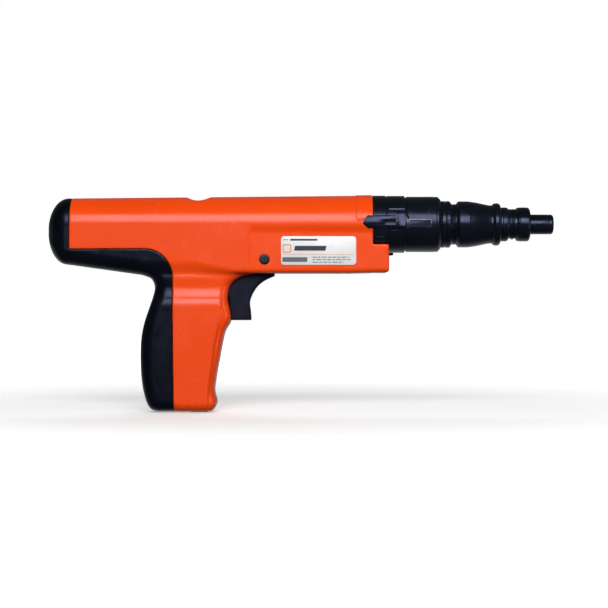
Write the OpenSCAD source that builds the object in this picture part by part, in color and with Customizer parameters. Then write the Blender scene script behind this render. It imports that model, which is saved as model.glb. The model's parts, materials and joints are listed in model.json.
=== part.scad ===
// Powder-actuated nail gun, as a bench assembly.
// Millimetres. The origin is the centre of the muzzle face on the bore axis, +X points
// out of the muzzle, +Z is up, and the right-hand shell is on the -Y side.

/* [Housing] */
// Back of the rubber rear cap
rear_x = -359.6; // [-361:0.2:-358]
// Body radius at the rear cap
body_r_rear = 18.5; // [18.2:0.1:18.8]
// Body radius at the front edge
body_r_front = 20.5; // [20.3:0.1:20.6]
// Front edge of the upper housing
front_x = -128.9; // [-129.2:0.1:-128.6]
// Front edge of the lower housing
box_front_x = -117.5; // [-119:0.5:-116]
// Bottom of the lower housing
box_bottom_z = -35; // [-35.5:0.1:-34.6]
// Half width of the lower housing
box_half_w = 19.2; // [19:0.1:19.4]
// Depth of the flat side panels
panel_depth = 0.7; // [0.5:0.1:1]
// Half width of the grip
grip_half_w = 16.5; // [16:0.1:17.5]
// Thickness of the rubber cover
rubber_t = 3; // [2.6:0.1:3.2]
// Thickness of the plastic wall
wall_t = 2.4; // [2.2:0.1:2.6]

/* [Front end] */
// Radius of the collar's rear ring
ring_r = 20.5; // [20.3:0.1:20.6]
// Radius of the collar
collar_r = 19.7; // [19.4:0.1:19.9]
// Front face of the collar
collar_front_x = -80.4; // [-81:0.1:-80.3]
// Radius of the flange on the nose sleeve
flange_r = 16.4; // [16:0.1:16.6]
// Radius of the bead behind the muzzle collar
bead_r = 15.1; // [14.8:0.1:15.4]
// Radius of the muzzle collar
muzzle_r = 12.1; // [11.8:0.1:12.4]
// Outer radius of the fastener guide
guide_r = 7.04; // [6.9:0.02:7.2]
// Radius of the fastener bore
fastener_r = 4.1; // [4:0.05:4.3]

/* [Mechanism] */
// Inner radius of the receiver tube
receiver_ri = 14.6; // [14.5:0.05:14.7]
// Outer radius of the receiver tube
receiver_ro = 16.5; // [16.4:0.05:16.55]
// Radius of the piston head
piston_r = 9.7; // [9.5:0.05:9.75]
// Radius of the piston rod
rod_r = 3.9; // [3.7:0.05:3.95]
// Middle plane of the load strip
strip_x = -252; // [-252.5:0.1:-251.5]
// Width of the load strip's channel
strip_w = 11.4; // [11:0.1:11.6]
// Thickness of the load strip's channel
strip_t = 7; // [6.6:0.1:7.2]

/* [Hidden] */
$fn = 96;

eps = 0.05;
gap = 0.3;
rod_gap = 0.45;
bore_gap = 0.1;
// Cutting tools reach this far out on every side
far = 60;
orange = "#f0501e";
black = "#1d1d1f";
steel = "#8d9298";
dark_steel = "#3b3e44";

// Rear cap, seam between plastic and rubber, and the body's underside
dome_x = -345.2;
dome_first_a = 10;
dome_depth = (dome_x - rear_x) / cos(dome_first_a);
cap_mid_z = -4.5;
cap_bottom_z = -28.8;
cap_seam_x = -342.7;
seam_z = -17.9;
seam_grip_x = -270.1;
web_x = -289.6;
seam_arc_r = seam_grip_x - web_x;
web_z = -36.4;
body_end_x = -222;
bore_r = receiver_ro + bore_gap;
bore_rear_x = -341;

// Grip sections from the base up: height, back, front, share of the half width
grip_rows = [
    [-133.6, -281.0, -246.0, 0.74],
    [-130.5, -286.5, -241.0, 0.90],
    [-126.5, -289.0, -239.6, 0.97],
    [-118.0, -291.5, -241.0, 1.00],
    [-105.4, -293.2, -239.2, 1.00],
    [-88.2, -293.3, -236.3, 0.99],
    [-76.8, -292.3, -234.4, 0.98],
    [-67.5, -290.3, -229.4, 0.97],
    [-59.6, -287.3, -229.9, 0.97],
    [-51.1, -284.5, -231.0, 0.98],
    [-45.4, -283.2, -230.1, 1.00],
    [-39.6, -285.2, -225.6, 1.04],
    [-34.6, -290.0, -219.5, 1.07],
    [-10.0, -298.0, -212.0, 1.09]];

// Front of the housing: the raised arch, the chin under the collar, and the side panels
arch_l = 12.1;
arch_bottom_z = -7;
arch_rise = 0.4;
chin_top_z = -14.6;
corner_r = 4;
panel_y = box_half_w - panel_depth;
panel_rear_x = -215.4;
panel_z = [-33.6, -6.6];
label_at = [-193.8, -29.4];
label_size = [53.1, 20.4];
label_t = 0.5;
label_corner_r = 2.5;

// Fasteners and pins
grip_screws = [[-264.5, -62], [-264.5, -118]];
grip_screw_r = 1.6;
grip_head_r = 3.3;
grip_head_bore_r = 3.5;
grip_head_y = 13.5;
boss_r = 3.6;
boss_y = 13;
trigger_screw_r = 2;
trigger_head_bore_r = 3.75;
screw_head_y = 2.1;
pin_r = 1.5;

// Joint axes, as [x, z] in the side view, or [x, y] for the pawl
trigger_axis = [-205.4, -25.4];
sear_axis = [-273, -25];
lever_axis = [-160, -24];
pawl_axis = [-108.4, -18];
pawl_pin_r = 0.8;
pawl_pin_z = [-8.5, 8.8];
slot_y = 15.5;
slot_gap = 0.35;

// Collar pocket, and the wire rings of the nose
collar_bore_r = 17;
pocket_x = [-103.4, -88.4];
pocket_z = [-2.2, 2.3];
pocket_floor_y = 18;
waist_r = 10.9;
retainer_x = -29;
retainer_r = 10.45;
retainer_wire_r = 0.5;
nose_ring_x = -70.7;
nose_ring_r = 14;
nose_ring_wire_r = 0.5;

// Lengthwise stations of the mechanism
receiver_x = [-332, -106];
breech_x = [-296, -256.1];
plug_face_x = -322;
sleeve_x = [-175, -136.6];
barrel_x = [-232, -37];
shoulder_x = -136.3;
piston_x = -221.6;
head_l = 11.6;

function signed_pow(v, p) = sign(v) * pow(abs(v), p);

function body_r(x) = body_r_rear + (body_r_front - body_r_rear) * (x - dome_x) / (front_x - dome_x);

// Body section at x: a half circle above the axis and a fuller curve below it
function body_ring(x, r, bottom, s) = [for (i = [0:39])
    let (c = cos(9 * i), q = sin(9 * i))
    [x, s * r * (q >= 0 ? c : signed_pow(c, 0.5)),
     cap_mid_z + s * ((q >= 0 ? r * q : bottom * pow(-q, 0.62)) - cap_mid_z)]];

// Grip section at height z: an oval with full sides
function grip_ring(z, back, front, w) = [for (i = [0:31])
    let (c = cos(11.25 * i), q = sin(11.25 * i))
    [(back + front) / 2 + (front - back) / 2 * signed_pow(c, 0.75), w * signed_pow(q, 0.75), z]];

// Closed solid through a list of rings with equal point counts
module loft(rings) {
    n = len(rings[0]);
    last = len(rings) - 1;
    polyhedron(
        points = [for (ring = rings) for (p = ring) p],
        faces = concat(
            [[for (i = [0:n - 1]) i]],
            [for (k = [0:last - 1]) for (i = [0:n - 1]) for (half = [0, 1])
                let (j = (i + 1) % n, a = k * n, b = a + n)
                half == 0 ? [a + i, b + i, b + j] : [a + i, b + j, a + j]],
            [[for (i = [n - 1:-1:0]) last * n + i]]));
}

// Coil spring of round wire along +Z
module coil(length, r, wire_r, turns) {
    steps = 16;
    loft([for (k = [0:turns * steps]) [for (j = [0:5])
        let (a = 360 * k / steps, rr = r + wire_r * cos(60 * j))
        [rr * cos(a), rr * sin(a),
         wire_r + (length - 2 * wire_r) * k / (turns * steps) - wire_r * sin(60 * j)]]]);
}

module along_x(x) translate([x, 0, 0]) rotate([0, 90, 0]) children();

module rod_x(x0, x1, r) along_x(x0) cylinder(h = x1 - x0, r = r);

module tube_x(x0, x1, ro, ri) difference() {
    rod_x(x0, x1, ro);
    rod_x(x0 - 1, x1 + 1, ri);
}

// Solid of revolution about the bore from [x, r] points
module turned(points) rotate([0, 90, 0]) rotate_extrude()
    polygon(concat([[0, points[0][0]]], [for (p = points) [p[1], p[0]]],
                   [[0, points[len(points) - 1][0]]]));

// Round bar across the tool at a side-view place [x, z], from y0 to y1
module rod_y(place, y0, y1, r) translate([place[0], y1, place[1]]) rotate([90, 0, 0])
    cylinder(h = y1 - y0, r = r);

// Plate cut to a side-view outline of [x, z] points, from y0 to y1
module plate_y(y0, y1) translate([0, y1, 0]) rotate([90, 0, 0])
    linear_extrude(y1 - y0) children();

// The pawl's pin, or a hole for it
module pin_z(r) translate([pawl_axis[0], pawl_axis[1], pawl_pin_z[0]])
    cylinder(h = pawl_pin_z[1] - pawl_pin_z[0], r = r);

module block(x, y, z) translate([x[0], y[0], z[0]]) cube([x[1] - x[0], y[1] - y[0], z[1] - z[0]]);

// ---- Housing ----

module body_form(d) {
    dome = [for (k = [0:5]) let (a = dome_first_a + 15 * k)
        body_ring(dome_x - (dome_depth - d) * cos(a), body_r_rear - d, cap_bottom_z + d, sin(a))];
    tail = [for (row = [[dome_x, 0], [web_x, 1], [body_end_x, 2]])
        body_ring(row[0], body_r(row[0]) - d, [cap_bottom_z, web_z, box_bottom_z][row[1]] + d, 1)];
    loft(concat(dome, tail));
}

module grip_form(d) {
    loft([for (row = grip_rows)
        grip_ring(row[0] == grip_rows[0][0] ? row[0] + d : row[0], row[1] + d, row[2] - d,
                  row[3] * grip_half_w - d)]);
}

module front_form() {
    start_x = body_end_x - 4;
    along_x(start_x) cylinder(h = front_x - start_x, r1 = body_r(start_x) - eps,
                                r2 = body_r_front);
    intersection() {
        rod_x(front_x - arch_l, front_x, body_r_front + arch_rise);
        block([front_x - far, front_x], [-far, far], [arch_bottom_z, far]);
    }
    difference() {
        translate([start_x, 0, 0]) rotate([90, 0, 90]) linear_extrude(box_front_x - start_x)
            offset(r = corner_r, $fn = 32) offset(delta = -corner_r)
            translate([-box_half_w, box_bottom_z]) square([2 * box_half_w, -box_bottom_z]);
        rod_x(front_x, 0, ring_r + 0.15);
        block([front_x, 0], [-far, far], [chin_top_z, far]);
    }
}

module outer_form() {
    body_form(0);
    grip_form(0);
    front_form();
}

// Side-view region that the rubber covers
module rubber_region(shift) {
    plate_y(-far, far) polygon(concat(
        [[rear_x - far, far], [cap_seam_x - shift, far], [cap_seam_x - shift, seam_z - shift]],
        [for (a = [90:-15:0])
            [web_x, seam_z - seam_arc_r] + (seam_arc_r - shift) * [cos(a), sin(a)]],
        [[seam_grip_x - shift, -200], [rear_x - far, -200]]));
}

// Plastic form: full size where it shows, thinner by the rubber where that covers it
module housing_form() {
    difference() {
        outer_form();
        rubber_region(0);
    }
    difference() {
        union() {
            body_form(rubber_t);
            grip_form(rubber_t);
        }
        block([body_end_x - 2, 0], [-far, far], [-far, far]);
    }
}

module mechanism_space() {
    rod_x(bore_rear_x, 0, bore_r);
    grip_form(rubber_t + wall_t);
    block([-223, box_front_x - wall_t], [-15.5, 15.5], [box_bottom_z + wall_t, -8]);
    block([-240, -197], [-7, 7], [-70.5, -30]);
    block([box_front_x - 5, 0], [8, 12], [-28.5, -18.4]);
    block([-252.5, -220], [8, 12], [-31, -10]);
    block([-272.5, -235.3], [-9.9, -6], [-52, -32]);
    block([-278.6, -260], [-10.6, 4], [-41.4, -20]);
    block([strip_x - 5.75, strip_x + 5.75], [-7.55, 7.55], [-140, -10]);
    block([strip_x - strip_t / 2 - 0.3, strip_x + strip_t / 2 + 0.3],
          [-strip_w / 2 - 0.2, strip_w / 2 + 0.2], [0, 40]);
}

// Scoop in the top where the spent strip comes out
module strip_scoop() {
    floor_z = 16.7;
    scoop_r = 13;
    rod_y([strip_x - 0.6, floor_z + scoop_r], -far, far, scoop_r);
}

module side_panels() for (side = [-1, 1])
    block([panel_rear_x, 0], side < 0 ? [-far, -panel_y] : [panel_y, far], panel_z);

module arrow_outline(grow) offset(delta = grow) polygon([
    [-104, 5.1], [-132.7, 5.1], [-135.8, 1.8], [-135.8, -0.3], [-132.3, -3.4], [-104, -3.4]]);

module housing_bosses(half) for (place = grip_screws)
    rod_y(place, half < 0 ? -boss_y : 0, half < 0 ? 0 : boss_y, boss_r);

module housing_half(half) color(orange) difference() {
    intersection() {
        union() {
            difference() {
                housing_form();
                mechanism_space();
            }
            housing_bosses(half);
        }
        block([rear_x - far, 0], half < 0 ? [-far, 0] : [0, far], [-200, far]);
    }
    strip_scoop();
    side_panels();
    plate_y(-far, -slot_y) arrow_outline(slot_gap);
    rod_y(trigger_axis, -far, 16, trigger_screw_r);
    rod_y(trigger_axis, -far, -panel_y + screw_head_y + eps, trigger_head_bore_r);
    rod_y(sear_axis, -14, 14, pin_r);
    rod_y(lever_axis, 0, 16, pin_r);
    for (place = grip_screws) {
        rod_y(place, -12.1, far, grip_screw_r);
        rod_y(place, grip_head_y, far, grip_head_bore_r);
    }
}

module housing_right() housing_half(-1);
module housing_left() housing_half(1);

module grip_backstrap() color(black) difference() {
    intersection() {
        union() {
            body_form(0);
            grip_form(0);
        }
        rubber_region(0.15);
    }
    body_form(rubber_t - 0.1);
    grip_form(rubber_t - 0.1);
}

module label_plate() color("white") plate_y(-panel_y - label_t, -panel_y)
    translate(label_at) offset(r = label_corner_r, $fn = 32) offset(delta = -label_corner_r)
    square(label_size);

module receiver_tube() color(steel) difference() {
    tube_x(receiver_x[0], receiver_x[1], receiver_ro, receiver_ri);
    block([strip_x - strip_t / 2, strip_x + strip_t / 2], [-strip_w / 2, strip_w / 2], [-20, 20]);
    block([-276, -259], [-3.8, 3.8], [-20, 0]);
    block([-131, -124], [-20, 0], [-2.8, 4.8]);
    for (side = [-1, 1]) block([-316, -150], side < 0 ? [-20, 0] : [0, 20], [-2.3, 2.3]);
}

module front_collar() color(black) difference() {
    turned([[front_x + 0.2, ring_r], [-106, ring_r], [-105.9, ring_r - 1.1], [-104.8, ring_r - 1.1],
            [-104.6, collar_r], [-82.5, collar_r], [collar_front_x, 17.6]]);
    rod_x(front_x - 1, receiver_x[1] + eps, receiver_ro + eps);
    rod_x(receiver_x[1], 0, collar_bore_r);
    block(pocket_x, [-far, -pocket_floor_y], pocket_z);
    intersection() {
        union() {
            plate_y(-far, -slot_y) arrow_outline(slot_gap);
            block([-112.2, -104.6], [-far, -slot_y], [-3.75, 7.9]);
        }
        block([-140, -104.6], [-far, 0], [-10, 10]);
    }
    pin_z(pawl_pin_r);
}

module breech_block() color(dark_steel) difference() {
    rod_x(breech_x[0], breech_x[1], receiver_ri - bore_gap);
    rod_x(breech_x[0] - 1, -266.8, 8.3);
    rod_x(-269, 0, 2.1);
    block([-276, -259], [-3.8, 3.8], [-20, -6]);
}

module strip_guide() color(dark_steel) difference() {
    block([strip_x - 5.7, strip_x + 5.7], [-7.5, 7.5], [-133.4, -16.8]);
    block([strip_x - strip_t / 2, strip_x + strip_t / 2], [-strip_w / 2, strip_w / 2], [-140, 0]);
    block([strip_x - 2, strip_x + 2], [0, 10], [-36, -18]);
}

module rear_plug() color(dark_steel) difference() {
    turned([[plug_face_x, receiver_ri - bore_gap], [receiver_x[0], receiver_ri - bore_gap],
            [receiver_x[0] - eps, receiver_ro - bore_gap], [receiver_x[0] - 4, receiver_ro - bore_gap]]);
    rod_x(-340, -334, 3);
}

module rear_buffer() color(black) tube_x(-340.8, -336.1, 16.2, 5);

module main_spring() color(steel) along_x(plug_face_x + 0.1) coil(19.6, 6.6, 0.9, 6);

module cocking_spring() color(steel) along_x(-208) coil(32.8, 13.7, 0.6, 8);

module trigger_spring() color(steel) translate([strip_x + 5.75, 0, -57]) rotate([0, 90, 0])
    coil(14.8, 2.6, 0.45, 6);

module pawl_spring() color(steel) block([-124, -113], [-16.95, -16.6], [-1.8, 3.6]);

module housing_screws() color(dark_steel) for (place = grip_screws) difference() {
    union() {
        rod_y(place, -12, grip_head_y + bore_gap, grip_screw_r);
        rod_y(place, grip_head_y, 15.3, grip_head_r);
    }
    rod_y(place, 14.1, 16, 1.6, $fn = 6);
}

module trigger_screw() color(dark_steel) difference() {
    union() {
        rod_y(trigger_axis, -panel_y + screw_head_y - eps, 16, trigger_screw_r);
        rod_y(trigger_axis, -panel_y + 0.1, -panel_y + screw_head_y, 3.55);
    }
    rod_y(trigger_axis, -20, -panel_y + 1.4, 1.7, $fn = 6);
}

module sear_pin() color(steel) rod_y(sear_axis, -14, 14, pin_r);
module lever_pin() color(steel) rod_y(lever_axis, 5, 16, pin_r);
module pawl_pin() color(steel) pin_z(pawl_pin_r);

// ---- Cocking sleeve ----

module cocking_sleeve() color(steel) {
    tube_x(sleeve_x[0], sleeve_x[1], receiver_ri - gap, 12.8);
    for (side = [-1, 1])
        block([-165, -152], side < 0 ? [-16.3, -13.4] : [13.4, 16.3], [-1.9, 1.9]);
}

module cocking_bars() color(steel) for (side = [-1, 1]) mirror([0, side < 0 ? 1 : 0, 0]) {
    block([-299.5, -165.05], [14.9, 16.3], [-1.9, 1.9]);
    block([-299.5, -296.5], [12.4, 15], [-1.9, 1.9]);
}

// ---- Barrel and nose ----

module barrel_tube() color(dark_steel) difference() {
    turned([[barrel_x[0], 11.8], [barrel_x[0] + 0.7, 12.5], [shoulder_x, 12.5], [shoulder_x + 0.05, 14.2],
            [-81, 14.2], [-80.95, 11.5], [barrel_x[1], 11.5]]);
    rod_x(-222, -112, 10);
    rod_x(-113, -102, 8.45);
    rod_x(-103, 0, rod_r + rod_gap);
    rod_x(barrel_x[0] - 1, -221, 3.5);
    block([-210.6, -108.9], [-20, 0], [-2.4, 4.4]);
}

module nose_sleeve() color(black) difference() {
    seat_r = nose_ring_r - nose_ring_wire_r - eps;
    seat_x = [nose_ring_x - 0.6, nose_ring_x + 0.6];
    groove_r = 14.3;
    turned([[-80, flange_r], [-79.6, flange_r + 0.2], [-74, flange_r + 0.2], [-73.4, flange_r - 0.2],
            [-73.2, 15.4], [-71.9, groove_r], [seat_x[0] - eps, groove_r], [seat_x[0], seat_r],
            [seat_x[1], seat_r], [seat_x[1] + eps, groove_r], [-69.5, groove_r], [-68.2, 15.4],
            [-67.9, flange_r - 0.3], [-67.4, flange_r], [-60.4, flange_r], [-59.8, 16.1], [-56, 15.7],
            [-53.2, 15.2], [-50.4, 14.6], [-47.5, 13.9], [-44.6, 13.6], [-43.4, 13.6],
            [-42.6, 14.6], [-41.4, bead_r], [-39.6, bead_r], [-38.2, 14.4], [-37.5, 13]]);
    rod_x(-81, 0, 11.55);
}

module wire_ring(x, r, wire_r) along_x(x) rotate_extrude() translate([r, 0])
    circle(r = wire_r, $fn = 24);

module annular_spring() color(steel) wire_ring(nose_ring_x, nose_ring_r, nose_ring_wire_r);

module muzzle_collar() color(black) difference() {
    seat_r = retainer_r - retainer_wire_r - eps;
    seat_x = [retainer_x - 0.6, retainer_x + 0.6];
    turned([[-36.9, muzzle_r - 0.5], [-36.4, muzzle_r], [-32.6, muzzle_r], [-31.8, waist_r],
            [seat_x[0] - eps, waist_r], [seat_x[0], seat_r], [seat_x[1], seat_r],
            [seat_x[1] + eps, waist_r], [-26.3, waist_r],
            [-25.4, muzzle_r], [-18.2, muzzle_r], [-16.8, 11]]);
    rod_x(-40, 0, rod_r + rod_gap);
    rod_x(-30, 0, guide_r - 0.3);
}

module fastener_guide() color(dark_steel) difference() {
    turned([[-30, guide_r - 0.3], [-16.6, guide_r - 0.3], [-16.55, guide_r], [-1.2, guide_r],
            [0, guide_r - 0.9]]);
    rod_x(-40, 1, fastener_r);
}

module guide_retainer() color(steel) wire_ring(retainer_x, retainer_r, retainer_wire_r);

module recoil_buffer() color("#6a2f20") for (x = [-129.6, -120.5, -111.4])
    tube_x(x, x + 9, 8.4, rod_r + rod_gap + 0.1);

// ---- Piston and firing pin ----

module piston() color(steel) difference() {
    turned([[piston_x, piston_r - 0.5], [piston_x + 0.5, piston_r], [piston_x + head_l, piston_r],
            [piston_x + head_l + 0.05, rod_r], [-80.8, rod_r], [-80, rod_r - 0.8]]);
    for (x = [piston_x + 2.4, piston_x + 5.6]) tube_x(x, x + 1.3, piston_r + 1, 8.8);
}

module piston_rings() color(dark_steel) for (x = [piston_x + 2.5, piston_x + 5.7]) difference() {
    tube_x(x, x + 1.1, 9.85, 8.85);
    block([x - 1, x + 2], [-0.5, 0.5], [0, 12]);
}

module firing_pin() color(steel) turned([[-302, 12], [-299, 12], [-298.95, 8], [-270.5, 8],
    [-269.5, 4], [-269.45, 1.8], [-257, 1.8], [-256.4, 1.2]]);

// ---- Trigger train ----

module trigger() color(black) difference() {
    union() {
        plate_y(-6.5, 6.5) offset(r = 0.6, $fn = 24) offset(delta = -0.6) polygon([
            [-209.8, -24], [-219.6, -34.6], [-226.2, -39.6], [-229.4, -42.5], [-231.1, -46],
            [-231.9, -50.4], [-231.1, -53.6], [-230.9, -59.6], [-230.2, -62.5], [-229.9, -68.6],
            [-215, -68.6], [-215.4, -62.5], [-216.1, -57], [-214.8, -51.1], [-213.4, -48.3],
            [-211.5, -45.4], [-208.9, -42.6], [-205.9, -40.4], [-198.4, -36.9], [-198.4, -35.2],
            [-200.8, -26]]);
        rod_y(trigger_axis, -6.5, 6.5, 4.6);
        block([-238, -229], [-5, 5], [-48, -43.5]);
        block([-238, -235.6], [-9.6, 5], [-48, -43.5]);
    }
    rod_y(trigger_axis, -8, 8, trigger_screw_r + eps);
}

module trigger_bar() color(steel) plate_y(-9.6, -7.8) polygon([
    [-238.4, -50], [-238.4, -40], [-262, -33.5], [-269.9, -33.5], [-269.9, -38.5],
    [-262, -38.5], [-244, -50]]);

module sear() color(steel) difference() {
    union() {
        rod_y(sear_axis, -9.6, 3.4, 3.6);
        block([-275.2, -271], [-9.6, -7], [-39.5, -25]);
        plate_y(-3.4, 3.4) polygon([[-274, -23], [-271.6, -19], [-269.4, -18.2], [-269.4, -9.2],
            [-268.5, -8.4], [-264.8, -8.4], [-264.8, -20.8], [-271, -28]]);
    }
    rod_y(sear_axis, -12, 12, pin_r + eps);
}

module advance_lever() color(black) difference() {
    union() {
        plate_y(8.5, 11.5) polygon([
            [-113.4, -21.8], [-113.4, -19.2], [-150, -20.4], [-209, -19.8], [-250.4, -27.2],
            [-250.4, -30.2], [-207, -22.9], [-150, -24]]);
        rod_y(lever_axis, 8.5, 11.5, 4);
    }
    rod_y(lever_axis, 0, 20, pin_r + eps);
}

module stop_pawl() color(black) difference() {
    union() {
        intersection() {
            union() {
                plate_y(-21, -17.3) difference() {
                    arrow_outline(0);
                    translate([-105.2, -20]) square([20, 40]);
                }
                block([-111.8, -105.2], [-21, -16.95], [-3.3, 7.5]);
            }
            rod_x(-140, -100, ring_r);
        }
        block([-129.5, -125.5], [-17.4, -8.8], [-2, 4]);
    }
    pin_z(pawl_pin_r + eps);
}

housing_right();
housing_left();
grip_backstrap();
label_plate();
receiver_tube();
front_collar();
breech_block();
strip_guide();
rear_plug();
rear_buffer();
main_spring();
cocking_spring();
trigger_spring();
pawl_spring();
housing_screws();
trigger_screw();
sear_pin();
lever_pin();
pawl_pin();
cocking_sleeve();
cocking_bars();
barrel_tube();
nose_sleeve();
annular_spring();
muzzle_collar();
fastener_guide();
guide_retainer();
recoil_buffer();
piston();
piston_rings();
firing_pin();
trigger();
trigger_bar();
sear();
advance_lever();
stop_pawl();
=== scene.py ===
"""Looks of a powder-actuated nail gun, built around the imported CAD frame. Lengths are millimetres
in the row frame (X out of the muzzle, Z up, the right-hand side on -Y) until mesh_piece scales
them to metres."""
import json
import math

import bmesh
import bpy
import numpy as np
import openvdb
from mathutils import Matrix, Vector


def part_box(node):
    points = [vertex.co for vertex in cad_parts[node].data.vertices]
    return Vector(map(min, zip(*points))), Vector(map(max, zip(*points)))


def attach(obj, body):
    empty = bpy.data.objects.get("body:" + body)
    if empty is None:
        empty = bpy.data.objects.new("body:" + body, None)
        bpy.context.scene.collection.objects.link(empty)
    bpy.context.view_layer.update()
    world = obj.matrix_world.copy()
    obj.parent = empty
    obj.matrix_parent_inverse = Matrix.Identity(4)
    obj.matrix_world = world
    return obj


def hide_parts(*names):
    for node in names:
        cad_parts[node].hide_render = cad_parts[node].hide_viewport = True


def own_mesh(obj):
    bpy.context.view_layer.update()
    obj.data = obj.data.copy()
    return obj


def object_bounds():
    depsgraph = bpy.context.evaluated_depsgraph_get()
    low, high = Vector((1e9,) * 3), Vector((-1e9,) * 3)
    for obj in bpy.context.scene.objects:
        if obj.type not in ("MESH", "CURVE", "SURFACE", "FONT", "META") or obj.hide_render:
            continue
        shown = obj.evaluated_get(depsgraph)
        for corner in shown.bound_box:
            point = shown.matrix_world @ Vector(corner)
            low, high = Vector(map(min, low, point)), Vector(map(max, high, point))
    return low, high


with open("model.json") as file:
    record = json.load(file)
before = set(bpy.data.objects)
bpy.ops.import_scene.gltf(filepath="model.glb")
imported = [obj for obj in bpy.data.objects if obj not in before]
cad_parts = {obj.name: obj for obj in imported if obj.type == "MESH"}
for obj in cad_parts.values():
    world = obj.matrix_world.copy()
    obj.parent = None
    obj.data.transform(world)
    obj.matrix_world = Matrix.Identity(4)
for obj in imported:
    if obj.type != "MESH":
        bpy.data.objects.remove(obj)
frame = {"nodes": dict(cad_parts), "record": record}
CAD_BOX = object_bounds()
MM = 0.001


def node_box(name):
    """Lowest and highest corner of a CAD node, in millimetres."""
    lo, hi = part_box(name)
    return Vector(lo) / MM, Vector(hi) / MM


# ---- Places taken from the CAD frame ----
WHOLE_LO, WHOLE_HI = (Vector(c) / MM for c in CAD_BOX)
REAR_X, BASE_Z = WHOLE_LO.x, WHOLE_LO.z
COLLAR_LO, COLLAR_HI = node_box("front_collar")
FRONT_X = COLLAR_LO.x - 0.2
BOX_FRONT_X = node_box("housing_right")[1].x
SCREW_LO, SCREW_HI = node_box("trigger_screw")
SCREW_X, SCREW_Z = (SCREW_LO.x + SCREW_HI.x) / 2, (SCREW_LO.z + SCREW_HI.z) / 2
LABEL_LO, LABEL_HI = node_box("label_plate")
PANEL_Y = -LABEL_HI.y
STRIP_LO, STRIP_HI = node_box("strip_guide")
STRIP_X = (STRIP_LO.x + STRIP_HI.x) / 2

# ---- Sizes that part.scad uses and the frame doesn't name ----
DOME_X = -345.2
SEAM_X = -342.7
SEAM_Z = -17.9
SEAM_GRIP_X = -270.1
BOX_DEPTH = 35.0
BODY_R_REAR = 18.5
BODY_R_FRONT = 20.5
CAP_DEPTH = 28.8


# ---- Curves and fields ----

def smooth_path(points, steps=6):
    """Catmull-Rom curve through the points."""
    p = [Vector(q) for q in points]
    n = len(p)
    out = []
    for i in range(n - 1):
        a, b, c, d = (p[max(0, min(n - 1, j))] for j in (i - 1, i, i + 1, i + 2))
        for k in range(steps):
            t = k / steps
            out.append(0.5 * (2 * b + (c - a) * t + (2 * a - 5 * b + 4 * c - d) * t * t
                              + (3 * b - a - 3 * c + d) * t ** 3))
    return out + [p[-1]]


def arc(cx, cz, r, a0, a1, steps=8):
    """Points on an arc, angles in degrees."""
    return [(cx + r * math.cos(math.radians(a0 + (a1 - a0) * k / steps)),
             cz + r * math.sin(math.radians(a0 + (a1 - a0) * k / steps))) for k in range(steps + 1)]


def polygon_distance(points, x, z):
    """Signed distance to a closed outline, negative inside, over a grid of x and z."""
    best = np.full(np.broadcast(x, z).shape, 1e9, np.float32)
    inside = np.zeros(best.shape, bool)
    n = len(points)
    for i in range(n):
        ax, az = points[i][0], points[i][1]
        bx, bz = points[(i + 1) % n][0], points[(i + 1) % n][1]
        ex, ez = bx - ax, bz - az
        wx, wz = x - ax, z - az
        t = np.clip((wx * ex + wz * ez) / (ex * ex + ez * ez + 1e-9), 0, 1)
        best = np.minimum(best, (wx - t * ex) ** 2 + (wz - t * ez) ** 2)
        if az != bz:
            inside ^= ((az > z) != (bz > z)) & (x < ex * (z - az) / ez + ax)
    return np.where(inside, -np.sqrt(best), np.sqrt(best)).astype(np.float32)


def ramp(t):
    t = np.clip(t, 0, 1)
    return t * t * (3 - 2 * t)


def blend_min(a, b, k):
    """Union with a fillet of about k."""
    h = np.clip(0.5 + 0.5 * (b - a) / k, 0, 1)
    return b + (a - b) * h - k * h * (1 - h)


def blend_max(a, b, k):
    return -blend_min(-a, -b, k)


def rounded(a, b, r):
    """Intersection of two distances with an edge of radius r."""
    qa, qb = a + r, b + r
    return (np.sqrt(np.maximum(qa, 0) ** 2 + np.maximum(qb, 0) ** 2)
            + np.minimum(np.maximum(qa, qb), 0) - r)


# ---- Outlines in the side view, as (x, z) ----
GRIP_OUTLINE = [tuple(p) for p in
    smooth_path([(-300, -20), (-296, -31), (-289.6, -36.4), (-285.4, -39.5), (-283.4, -45.0),
                 (-284.6, -51.5), (-287.4, -60), (-290.6, -69.5), (-292.9, -81), (-293.5, -94),
                 (-292.9, -108), (-291.2, -119.5), (-288.6, -127.6), (-285.6, -131.6),
                 (-281, BASE_Z)])
    + smooth_path([(-246, BASE_Z), (-242.4, -132.3), (-240.3, -129.4), (-239.6, -126),
                   (-240.7, -121.6), (-241.2, -117), (-239.6, -106), (-237.5, -95), (-235.6, -84.5),
                   (-233.7, -76.3), (-230.7, -71), (-229.3, -66), (-230.1, -60.4), (-231.3, -55.5),
                   (-231.4, -50.8), (-230.6, -46.2), (-228.8, -42.6), (-225.9, -39.8), (-221.2, -37.2),
                   (-215.4, -35.6), (-208, -31), (-205, -20)])]
PALM_PANEL = ([(-330, -40), (-236.5, -40), (-235.5, -58), (-237.6, -72), (-240.4, -86), (-242.6, -104),
               (-245.0, -122), (-247, -150), (-330, -150)])
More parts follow.
